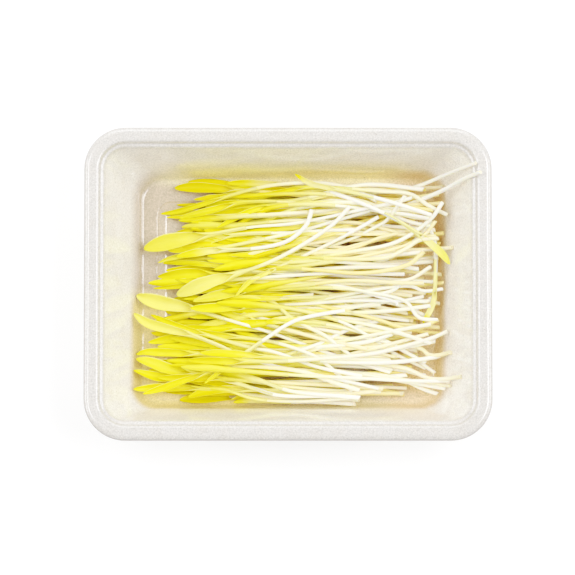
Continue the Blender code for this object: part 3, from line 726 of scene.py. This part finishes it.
def sprayShoots(rng, layer, place):
    middle = sprays["pitch"] * ((sprays["inLayer"] - 1) / 2 - place) + sprays["layerShift"] * (layer - 1)
    towardBack = middle / tray["floor"][1] + 0.5
    tipStray, cutStray, mostRoll = sprays["tipStray"], sprays["cutStray"], sprays["mostRoll"]
    shoots = []
    for tipOrder, cutOrder in enumerate(sprays["cutOrder"]):
        tipX = mix(sprays["frontTipsFrom"], sprays["backTipsFrom"], towardBack)
        tipX += rng.uniform(0.0, sprays["tipRange"])
        cutX = min(tipX + rng.uniform(*sprays["lengths"]),
                   rng.uniform(*sprays["cuts"]) + sprays["layerReach"] * layer)
        tipY = middle + sprays["tipPitch"] * (tipOrder - 1.5) + rng.uniform(-tipStray, tipStray)
        cutY = middle + sprays["cutPitch"] * (cutOrder - 1.5) + rng.uniform(-cutStray, cutStray)
        halfWay = ((tipX + cutX) / 2, (tipY + cutY) / 2 + rng.uniform(-tipStray, tipStray))
        width, fold = rng.uniform(*sprays["bladeWidths"]), rng.choice(sprays["folds"])
        roll = rng.uniform(-mostRoll, mostRoll)
        shoots.append(Shoot((tipX, tipY, *halfWay, cutX, cutY), width, fold, roll))
    return shoots


def tie(shoots):
    # where two shoots of a spray cross, one rests on the other, sunk in as in the solids
    for _ in range(sprays["tieRounds"]):
        for low, high in sprays["crossings"]:
            lower, upper = shoots[low], shoots[high]
            here, there = lower.crossing(upper)
            thickness = stepsAlong[here] @ lower.sections()[2] + stepsAlong[there] @ upper.sections()[2]
            rise = stepsAlong[there] @ upper.z - stepsAlong[here] @ lower.z
            upper.lift(there, sprays["leastRise"] * thickness - rise)
            lower.lift(here, rise - sprays["mostRise"] * thickness)


# Loose shoots fill the heap. The first lie under its top layer: each takes the best of a few lines
# drawn near its own place. The second have their own lines, and weave through the top layer.
# All lie limply on what is under them.
loose = {
    "seed": 5, "inPiece": 20, "tries": 24, "steps": 64, "limpness": 6.0, "span": 100.0, "rounds": 14,
    "easing": 4, "gap": 0.1, "frontTip": -63.0, "backTip": -52.0, "tipRange": 52.0, "cuts": (34.0, 66.0),
    "lengths": (62.0, 112.0), "across": (-43.5, 43.5), "shift": 5.0, "slant": 8.0, "bend": 2.5,
    "bladeWidths": (1.8, 3.4), "folds": (-0.2, 0.2), "mostRoll": 25.0, "under": 200, "sinking": 10.0,
    "mostSunk": 0.8, "leastRoom": 1.3, "freeStems": 18, "hiddenTips": -22.0, "leastSpan": 88.0,
}
# Each woven shoot: x and y in turn from leaf tip to cut end, then its blade's width
wovenShoots = (
    ((-36, 30, -27, 32, -16, 34, 5, 37, 32, 42, 52, 40), 4.0),
    ((-31, 34, -18, 37, 5, 38, 26, 43, 38, 44, 57, 42), 4.2),
    ((-41, 26, -27, 26, -8, 29, 18, 32, 41, 33, 57, 32), 4.2),
    ((-30, 26, -20, 31, -11, 34, 1, 35, 22, 37, 41, 32, 51, 28, 60, 26), 2.4),
    ((-24, 26, -14, 31, -6, 34, 13, 36, 39, 35, 64, 36), 2.2),
    ((-12, 29, -2, 32, 7, 34, 26, 36, 47, 33), 2.2),
    ((-24, 22, -14, 24, 5, 27, 28, 28, 52, 22), 2.6),
    ((-18, 21, -10, 22, 9, 23, 35, 23, 62, 22), 2.6),
    ((-35, 22, -20, 19, 1, 18, 23, 16, 38, 21, 46, 23), 2.2),
    ((-51, 17, -46, 17, -35, 20, -21, 23, 5, 24, 30, 25), 4.4),
    ((-34, 14, -27, 14, -14, 13, 9, 15, 38, 15, 49, 16, 69, 17), 3.4),
    ((-34, 12, -23, 12, 1, 11, 26, 12, 45, 14, 57, 15), 3.2),
    ((-22, 14, -5, 13, 18, 11, 39, 10, 51, 11, 61, 12), 3.0),
    ((-45, 6, -31, 6, -12, 7, 13, 8, 44, 9, 55, 8), 4.0),
    ((-46, 4, -33, 3, -12, 3, 18, 2, 48, 3, 60, 9), 3.4),
    ((-59, 3, -52, 3, -40, 3, -21, 4, 13, 6, 41, 6, 49, 6), 3.6),
    ((-42, -11, -33, -10, -19, -9, 9, -5, 40, -2, 48, 2), 4.4),
    ((-35, -15, -24, -12, -4, -8, 22, -3, 49, 1, 57, -1, 65, 0), 4.0),
    ((-35, -17, -23, -16, 1, -13, 26, -8, 44, -5, 59, -5, 60, -3), 3.4),
    ((-55, -16, -44, -18, -31, -21, -8, -24, 22, -25, 52, -24, 60, -28, 68, -27), 3.8),
    ((-59, -22, -45, -20, -31, -22, -8, -25, 29, -23, 44, -19), 3.8),
    ((-55, -24, -38, -25, -16, -26, 18, -28, 46, -25, 62, -22), 3.8),
    ((-51, -30, -37, -31, -21, -30, 9, -26, 26, -21, 40, -22, 58, -31), 3.6),
    ((-50, -32, -20, -33, 5, -34, 26, -36, 41, -37, 68, -41), 2.6),
    ((-35, -31, -19, -32, 5, -32, 30, -31, 48, -33, 60, -38, 72, -38), 3.6),
    ((-59, -34, -48, -34, -35, -37, -12, -39, 9, -40, 27, -41, 40, -42), 3.8),
    ((-42, -45, -35, -43, -23, -42, 1, -43, 22, -44, 37, -43), 3.6),
    ((-23, -47, -16, -46, -2, -47, 12, -47, 28, -48), 2.6),
    ((-55, -39, -41, -41, -27, -42, -14, -46, 5, -47, 26, -46), 2.8),
    ((-42, -34, -26, -38, -14, -42, -2, -45, 24, -45), 2.8),
    ((-31, -35, -14, -38, -3, -42, 7, -44, 30, -46), 2.8),
    ((-11, 40, 9, 43, 38, 41, 51, 40, 59, 35, 67, 31), 2.4),
    ((-16, 12, 5, 12, 26, 15, 45, 19, 59, 28, 65, 36), 2.4),
    ((-27, 9, 1, 9, 26, 12, 47, 17, 57, 22, 62, 28), 2.6),
    ((-8, 14, 18, 12, 39, 12, 49, 16, 55, 20, 63, 21), 2.6),
    ((-21, 9, 5, 8, 30, 6, 49, 9, 57, 15), 2.6),
    ((-27, 2, -2, 2, 20, 1, 44, -5, 46, -7), 2.8),
    ((-16, -12, 5, -9, 26, -10, 45, -9, 60, -7), 2.6),
    ((-12, -4, 9, -6, 35, -12, 52, -17, 63, -13), 2.8),
    ((-21, -23, 5, -24, 22, -22, 38, -19, 60, -15), 2.8),
    ((-10, -28, 9, -30, 32, -26, 59, -19), 2.6),
    ((1, -14, 22, -16, 44, -23, 62, -35), 2.4),
    ((-8, -9, 9, -10, 24, -13, 38, -16, 60, -23), 2.4),
    ((-11, -4, 1, -12, 8, -16, 16, -20, 30, -30, 44, -34), 2.2),
    ((5, -35, 26, -35, 45, -37, 57, -42, 63, -44), 2.4),
    ((13, 40, 30, 37, 41, 33, 51, 30, 59, 29), 2.0),
    ((5, 35, 26, 34, 48, 31, 59, 29), 2.2),
    ((18, 0, 35, -2, 49, -5, 55, -12, 63, -13), 2.2),
    ((-21, 0, 5, 1, 26, 3, 47, 2, 57, 2), 2.8),
)
stepNumbers = np.arange(loose["steps"])
apart = np.subtract.outer(stepNumbers, stepNumbers) * loose["span"] / loose["steps"]
limply = np.exp(-(apart / loose["limpness"]) ** 2)
limply /= limply.sum(axis=1)[:, None]


class LooseShoot(Shoot):
    # it has more steps along it, and lies limply on whatever is under each

    def __init__(self, places, bladeWidth, fold, roll):
        super().__init__(places, bladeWidth, fold, roll)
        self.place(np.linspace(0.0, self.length, loose["steps"]), 0.0)

    def surfaces(self):
        return [np.einsum("ck,skd->scd", stepsAcross, side) for side in self.corners()]

    def lay(self, ground, lid, bare):
        # it is over the ground where that leaves it under the lid, and how far it sinks in is kept
        top = self.surfaces()[0]
        least = self.shortOf(ground, loose["gap"])
        most = (lid.under(top) - loose["gap"] - top[..., 2]).min(axis=1)
        onTray = self.shortOf(bare, loose["gap"])
        self.z = least
        for _ in range(loose["rounds"]):
            self.z = np.minimum(np.maximum(limply @ self.z, least), most)
        self.sunk = np.maximum(least - self.z, 0.0).mean()
        # a stem bends gently, so any step that is left is eased, but never into the tray
        for _ in range(loose["easing"]):
            self.z = np.maximum(limply @ self.z, onTray)


def looseShoot(rng, share, tipShare):
    # its place in the heap is given as shares, and the rest is drawn
    tipY = mix(*loose["across"], share) + rng.uniform(-loose["shift"], loose["shift"])
    tipX = mix(loose["frontTip"], loose["backTip"], share) + loose["tipRange"] * tipShare
    cutX = min(tipX + rng.uniform(*loose["lengths"]), rng.uniform(*loose["cuts"]))
    cutY = tipY + math.tan(math.radians(rng.normal(0.0, loose["slant"]))) * (cutX - tipX)
    tipY, cutY = np.clip((tipY, cutY), *loose["across"])
    halfWay = ((tipX + cutX) / 2, (tipY + cutY) / 2 + rng.uniform(-loose["bend"], loose["bend"]))
    width, fold = rng.uniform(*loose["bladeWidths"]), rng.choice(loose["folds"])
    roll = rng.uniform(-loose["mostRoll"], loose["mostRoll"])
    return LooseShoot((tipX, tipY, *halfWay, cutX, cutY), width, fold, roll)


def lidOver(ground, surfaces):
    # the lowest surface over each cell, which is nowhere without one
    lid = copy.deepcopy(ground)
    lid.wide = np.full(ground.top.shape, np.inf)
    for surface in surfaces:
        np.minimum.at(lid.wide, ground.cells(surface), surface[..., 2])
    return lid


def fillHeap(under, ground, topLayer):
    rng = np.random.default_rng(loose["seed"])
    bare = Ground()
    lid = lidOver(ground, [each.surfaces()[1] for each in topLayer])
    count = loose["under"]
    lower = []
    for share, tipShare in zip(rng.permutation(count) / (count - 1), rng.permutation(count) / (count - 1)):
        best = None
        for _ in range(loose["tries"]):
            each = looseShoot(rng, share, tipShare)
            each.lay(under, lid, bare)
            cost = each.z.mean() + loose["sinking"] * each.sunk
            if best is None or cost < best[0]:
                best = (cost, each)
        if best[1].sunk < loose["mostSunk"]:
            best[1].cover(under)
            under.widen()
            lower.append(best[1])
    ground.top = np.maximum(ground.top, under.top)
    # the woven ones may cross over the stems of the first of the top layer, but over nothing else of it
    free = loose["freeStems"]
    held = [each.surfaces()[1][stepsAlong @ each.along < shoot["leafEnd"]] for each in topLayer[:free]]
    leafLid = lidOver(ground, held + [each.surfaces()[1] for each in topLayer[free:]])
    passing = copy.deepcopy(ground)
    woven = []
    for places, width in wovenShoots:
        # it goes under the top layer where there is room or a lid, and over it elsewhere
        passing.top = np.where(lid.wide - under.top > loose["leastRoom"], under.top, ground.top)
        passing.top = np.where(np.isfinite(leafLid.wide), under.top, passing.top)
        passing.widen()
        if places[0] > loose["hiddenTips"]:
            # its leaf lies hidden in the heap, further toward the tips
            places = (places[-2] - loose["leastSpan"], places[1], *places)
        roll = rng.uniform(-loose["mostRoll"], loose["mostRoll"])
        each = LooseShoot(places, width, rng.choice(loose["folds"]), roll)
        each.lay(passing, leafLid, bare)
        each.cover(under)
        each.cover(ground)
        woven.append(each)
    print("loose shoots:", len(lower), "lower and", len(woven), "woven")
    return lower, woven


def layShoots():
    # each node's shoots, in the order in which they were laid
    rng = np.random.default_rng(sprays["seed"])
    ground = Ground()
    laid = {}
    for spray in range(sprays["count"]):
        shoots = sprayShoots(rng, *divmod(spray, sprays["inLayer"]))
        for each in shoots:
            each.lay(ground)
        tie(shoots)
        for each in shoots:
            each.cover(ground)
        ground.widen()
        laid[f"spray_{spray + 1:02d}"] = shoots
    under = copy.deepcopy(ground)
    for number, facts in enumerate(topShoots):
        each = Shoot(*facts, lying["limpStiffness" if number in limpShoots else "stiffness"])
        each.lay(ground)
        each.cover(ground)
        ground.widen()
        laid[f"shoot_{number + 1:02d}"] = [each]
    lower, woven = fillHeap(under, ground, [laid[node][0] for node in laid if node.startswith("shoot")])
    return laid, lower, woven


# The fine form of a shoot. The leaf is a thin strip, open near its tip and rolled up toward its
# foot, where it comes out of the stem's slanted mouth. The stem ends in a slightly slanted cut.
leaf = {
    "thickness": 0.26, "marginThinning": 0.45, "thickFrom": -2.0, "thickTo": 5.0,
    "rows": 44, "rowsTowardTip": 1.25, "acrossSteps": 11, "tucked": 6.0, "fullness": 1 / 1.9,
    "leastHalf": 0.16, "fullLength": 90.0, "mostRolled": 0.95,
    # how far it is opened out or rolled up, as half an angle
    "narrowOpen": 1.6, "rolled": 1.12 * math.pi, "narrow": (1.6, 2.6), "tube": (0.6, 2.6), "tubeAt": 0.94,
    "scroll": 0.1, "keel": 0.22, "keelRound": 0.02, "keelRise": 0.35, "rippleSkew": 1.5,
    "rippleFrom": 1.0, "rippleTo": 6.0, "twist": 14.0, "twistReach": 20.0,
    "drawn": {
        "open": (0.35, 0.75), "rollFrom": (11.0, 17.0), "rollTo": (26.0, 33.0), "tubeRadius": (0.66, 0.76),
        "tipShape": (1.15, 1.8), "ripple": (0.05, 0.2), "rippleLength": (9.0, 17.0),
    },
}
stem = {
    "rows": 30, "sides": 14, "radiusShare": (0.74, 0.98), "mouthAt": (30.0, 46.0), "mouthSlant": (1.0, 4.0),
    "mouthSharpness": 1.6, "mouthReach": 5.0, "cutSlant": 0.5, "cutFrom": -3.0, "cutTo": -0.3,
    "unevenness": 0.03, "unevenLength": 7.0, "taper": (0.9, 1.03), "flattening": 0.97, "axisSteps": 200,
    # the mouth's lip turns in: each ring's share of the radius, and how far it is from the mouth
    "mouthRings": ((0.6, 0.5), (0.82, 0.1), (0.95, 0.35)),
    # the cut face: each ring's share of the radius, how far it is past the end, and how tan it is
    "cutRings": ((1.0, -0.5, 0.0), (1.0, -0.16, 0.0), (0.93, 0.0, 0.6), (0.78, 0.02, 0.35),
                 (0.72, -0.12, 1.0), (0.58, -0.02, 0.5), (0.3, -0.06, 0.6), (0.0, -0.1, 0.7)),
}


def leafPlaces(each, draw):
    end = draw["mouth"] + leaf["tucked"]
    along = end * (np.linspace(0.0, 1.0, leaf["rows"]) ** leaf["rowsTowardTip"])
    grown = along / each.leafScale
    opened = mix(leaf["narrowOpen"], draw["open"], smoothstep(*leaf["narrow"], np.array(each.bladeWidth)))
    theta = mix(opened, leaf["rolled"], smoothstep(draw["rollFrom"], draw["rollTo"], grown))
    toward = np.clip(1.0 - grown / shoot["widestAt"], 0.0, 1.0)
    blade = each.bladeWidth / 2 * np.maximum(1.0 - toward ** draw["tipShape"], 0.0) ** leaf["fullness"]
    tubeward = smoothstep(shoot["widestAt"], leaf["tubeAt"] * shoot["leafEnd"], grown)
    seen = np.maximum(mix(blade, draw["tubeRadius"], tubeward), leaf["leastHalf"])[:, None]
    radius = seen / np.sin(np.minimum(theta, math.pi / 2))[:, None]
    across = np.linspace(-1.0, 1.0, leaf["acrossSteps"])[None, :]
    angle = theta[:, None] * across
    tube = smoothstep(*leaf["tube"], theta)[:, None]
    spread = radius * (1.0 + leaf["scroll"] * draw["hand"] * across * tube)
    sign = math.copysign(1.0, each.fold)
    sideways = spread * np.sin(angle)
    upward = sign * (radius - spread * np.cos(angle)) - sign * radius * tube
    keel = np.sqrt(across ** 2 + leaf["keelRound"]) - leaf["keelRise"]
    upward = upward + sign * leaf["keel"] * seen * keel * (1.0 - tube)
    turned = 2 * math.pi * grown[:, None] / draw["rippleLength"]
    ripple = np.sin(turned + draw["phase"] + leaf["rippleSkew"] * np.sign(across))
    rippled = smoothstep(leaf["rippleFrom"], leaf["rippleTo"], grown)[:, None]
    upward = upward + draw["ripple"] * ripple * across ** 2 * (1.0 - tube) * rippled
    # both faces of the strip, half its thickness from the middle, thinner toward the margins
    half = leaf["thickness"] / 2 * (1.0 - leaf["marginThinning"] * across ** 2)
    half = half * smoothstep(leaf["thickFrom"], leaf["thickTo"], grown)[:, None]
    loops = []
    for middle, out in ((sideways, np.sin(angle) * half), (upward, -sign * np.cos(angle) * half)):
        faces = [middle + out, (middle - out)[:, ::-1]]
        loops.append(np.concatenate([*faces, faces[0][:, :1]], axis=1)[..., None])
    centre = each.centre(along)
    flat = 1.0 - smoothstep(shoot["flatTo"], shoot["leafEnd"], grown)
    twist = draw["twist"] * (np.clip(1.0 - grown / leaf["twistReach"], 0.0, 1.0)) ** 2
    side, up = crossAxes(centre, along + 1e-6 * np.arange(len(along)), (each.roll * flat + twist)[:, None])
    places = centre[:, None] + side[:, None] * loops[0] + up[:, None] * loops[1]
    return places, np.repeat(grown[:, None], places.shape[1], axis=1), end


def stemPlaces(each, draw):
    mouthShares, mouthDepths = np.array(stem["mouthRings"]).T
    cutShares, cutDepths, cutTones = np.array(stem["cutRings"]).T
    turn = np.linspace(0.0, 2 * math.pi, stem["sides"] + 1)[None, :]
    body = np.linspace(draw["mouth"], each.length + cutDepths[0], stem["rows"])
    along = np.concatenate([body[0] + mouthDepths, body[1:], each.length + cutDepths[1:]])
    shares = np.concatenate([mouthShares, np.ones(len(body) - 1), cutShares[1:]])
    cut = np.concatenate([np.zeros(len(along) - len(cutTones) + 1), cutTones[1:]])
    wave = np.sin(along / stem["unevenLength"] + draw["phase"])
    radius = draw["stemRadius"] * (1.0 + stem["unevenness"] * wave)
    radius = radius * mix(*stem["taper"], smoothstep(draw["mouth"], each.length, along)) * shares
    # the mouth is a slanted tip on one side, and the cut face leans a little
    tip = (0.5 + 0.5 * np.cos(turn - draw["mouthTurn"])) ** stem["mouthSharpness"]
    atMouth = 1.0 - smoothstep(draw["mouth"], draw["mouth"] + stem["mouthReach"], along)
    atCut = smoothstep(each.length + stem["cutFrom"], each.length + stem["cutTo"], along)
    shift = -draw["mouthSlant"] * tip * atMouth[:, None]
    lean = draw["cutSlant"] * radius[:, None] * np.cos(turn - draw["cutTurn"]) * atCut[:, None]
    where = along[:, None] + shift + lean
    at = np.clip(where.ravel(), 0.0, each.length)
    beyond = np.clip(where.ravel() - each.length, 0.0, None)
    axis = np.linspace(0.0, each.length, stem["axisSteps"])
    line = each.centre(axis)
    fields = (*crossAxes(line, axis, np.zeros((len(axis), 1))), np.gradient(line, axis, axis=0))
    side, up, heading = (np.stack([np.interp(at, axis, field[:, k]) for k in range(3)], axis=1)
                         for field in fields)
    around = np.broadcast_to(turn, where.shape).ravel()[:, None]
    reach = np.broadcast_to(radius[:, None], where.shape).ravel()[:, None]
    outward = side * np.cos(around) + up * stem["flattening"] * np.sin(around)
    places = each.centre(at) + heading * beyond[:, None] + reach * outward
    return places.reshape(*where.shape, 3), where, np.broadcast_to(cut[:, None], where.shape)


def addShoot(shape, each, rng, tones, fading):
    longEnough = min(1.0, each.length / leaf["fullLength"])
    turn = (0.0, 2 * math.pi)
    draw = {name: rng.uniform(*span) for name, span in leaf["drawn"].items()}
    draw.update({
        "mouth": rng.uniform(*stem["mouthAt"]) * longEnough, "phase": rng.uniform(*turn),
        "twist": math.radians(rng.uniform(-leaf["twist"], leaf["twist"])), "hand": rng.choice((-1.0, 1.0)),
        "stemRadius": shoot["stemRadius"] * rng.uniform(*stem["radiusShare"]),
        "mouthSlant": rng.uniform(*stem["mouthSlant"]), "mouthTurn": rng.uniform(*turn),
        "cutSlant": rng.uniform(0.0, stem["cutSlant"]), "cutTurn": rng.uniform(*turn),
    })
    draw["rollTo"] = min(draw["rollTo"], leaf["mostRolled"] * draw["mouth"] / each.leafScale)
    tone = rng.uniform(*(leafLook["wideTones"] if each.bladeWidth > leafLook["wide"] else tones))
    fading = rng.uniform(*fading) / longEnough ** leafLook["shortFading"]
    places, grown, end = leafPlaces(each, draw)
    wrapGrid(shape, places, 0, traitsFrom(fading * grown / 100.0, tone, 0.0), end / 10.0)
    places, grown, cut = stemPlaces(each, draw)
    span = each.length - draw["mouth"]
    wrapGrid(shape, places, 1, traitsFrom(fading * grown / 100.0, tone, cut), span / 10.0)


def shootPiece(name, shoots, materials, seed, tones, fading):
    rng = np.random.default_rng(seed)
    shape = bmesh.new()
    for each in shoots:
        addShoot(shape, each, rng, tones, fading)
    return addPiece(name, shape, materials)


def buildShoots(laid, lower, woven, materials):
    for number, (node, shoots) in enumerate(laid.items()):
        look = {**leafLook["top" if node.startswith("shoot") else "low"], **leafLook["own"].get(node, {})}
        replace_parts(shootPiece("corn_" + node, shoots, materials, 100 + number, **look), node)
    for name, shoots, look in (("lower", lower, leafLook["low"]), ("woven", woven, leafLook["woven"])):
        for first in range(0, len(shoots), loose["inPiece"]):
            group = shoots[first:first + loose["inPiece"]]
            number = first // loose["inPiece"] + 1
            shootPiece(f"{name}_shoots_{number}", group, materials, 300 + first, **look)


# The studio: a white sweep in a pale room, with soft lights at the back and at both sides, which
# draw the thin gloss on the tray's roundings
studio = {
    "floorSize": 6.0, "floorColour": "#DADADA", "floorGlow": 0.42, "bounces": 10,
    "frontWorld": 0.205, "backWorld": 0.375,
    # each light's place and size in metres, and its watts
    "lights": {
        "back": ((0.0, 1.4, 1.4), (1.6, 0.8), 9.5),
        "left": ((-1.8, 0.1, 1.15), (1.2, 0.55), 8.5), "right": ((1.8, 0.1, 1.15), (1.2, 0.55), 8.5),
        "upper left": ((-0.9, 0.1, 1.8), (1.0, 0.45), 8.5),
        "upper right": ((0.9, 0.1, 1.8), (1.0, 0.75), 14.0),
    },
    # the camera's tone curve: the middle tones are lifted and the darkest stay
    "tones": ((0.02, 0.02), (0.06, 0.12), (0.13, 0.28), (0.25, 0.49), (0.42, 0.67), (0.65, 0.845),
              (0.85, 0.945)),
}
# The camera's facts, worked out from the tray's outline in the picture
picture = {
    "width": 575.0, "rimCentre": (288.0, 283.2), "pixelsPerMillimetre": 2.406, "elevation": 84.6,
    "distance": 2000.0, "sensor": 36.0, "clipEnd": 20.0,
}


def buildStudio():
    shape = bmesh.new()
    bmesh.ops.create_grid(shape, x_segments=1, y_segments=1, size=studio["floorSize"] / 2)
    card, tree, shader = newMaterial("white card")
    setInputs(shader, {"Base Color": linear(studio["floorColour"]), "Roughness": 1.0,
                       "Specular IOR Level": 0.0, "Emission Color": (1.0, 1.0, 1.0, 1.0),
                       "Emission Strength": studio["floorGlow"]})
    addMesh("studio_floor", shape, [card])
    for side, (place, size, watts) in studio["lights"].items():
        light = bpy.data.lights.new(side + " softbox", "AREA")
        light.shape = "RECTANGLE"
        light.size, light.size_y = size
        light.energy = watts
        lamp = addObject(side + " softbox", light)
        lamp.location = place
        lamp.rotation_euler = (-Vector(place)).to_track_quat("-Z", "Y").to_euler()
    world = bpy.data.worlds.new("studio")
    world.use_nodes = True
    tree, shown = world.node_tree, world.node_tree.nodes["Background"]
    setInputs(shown, {"Color": (1.0, 1.0, 1.0, 1.0)})
    # the room is brighter at the back than at the front
    toward = addNode(tree, "TexCoord").node.outputs["Generated"]
    toward = addNode(tree, "SeparateXYZ", links={"Vector": toward}).node.outputs["Y"]
    glow = addNode(tree, "MapRange", values={"From Min": -1.0, "To Min": studio["frontWorld"],
                   "To Max": studio["backWorld"]}, links={"Value": toward})
    tree.links.new(glow, shown.inputs["Strength"])
    bpy.context.scene.world = world
    view = bpy.context.scene.view_settings
    view.view_transform = "Standard"
    view.use_curve_mapping = True
    for dark, lifted in studio["tones"]:
        view.curve_mapping.curves[3].points.new(dark, lifted)
    view.curve_mapping.update()
    bpy.context.scene.cycles.diffuse_bounces = studio["bounces"]


def buildCamera():
    elevation = math.radians(picture["elevation"])
    scale = picture["pixelsPerMillimetre"]
    offX = (picture["rimCentre"][0] - picture["width"] / 2) / scale
    offY = (picture["width"] / 2 - picture["rimCentre"][1]) / scale
    target = Vector((-offX, -offY / math.sin(elevation), tray["height"])) * mm
    back = Vector((0.0, -math.cos(elevation), math.sin(elevation)))
    data = bpy.data.cameras.new("camera")
    data.sensor_width = picture["sensor"]
    data.lens = picture["sensor"] * picture["distance"] / (picture["width"] / scale)
    data.clip_end = picture["clipEnd"]
    camera = addObject("camera", data)
    camera.location = target + back * picture["distance"] * mm
    camera.rotation_euler = (-back).to_track_quat("-Z", "Y").to_euler()
    bpy.context.scene.camera = camera


buildTray(mouldedPulp())
print("tray made")
laid, lower, woven = layShoots()
print("shoots laid")
buildShoots(laid, lower, woven, [cornLeaf(), cornStem()])
print("shoots made")
buildStudio()
buildCamera()
print("studio and camera set")
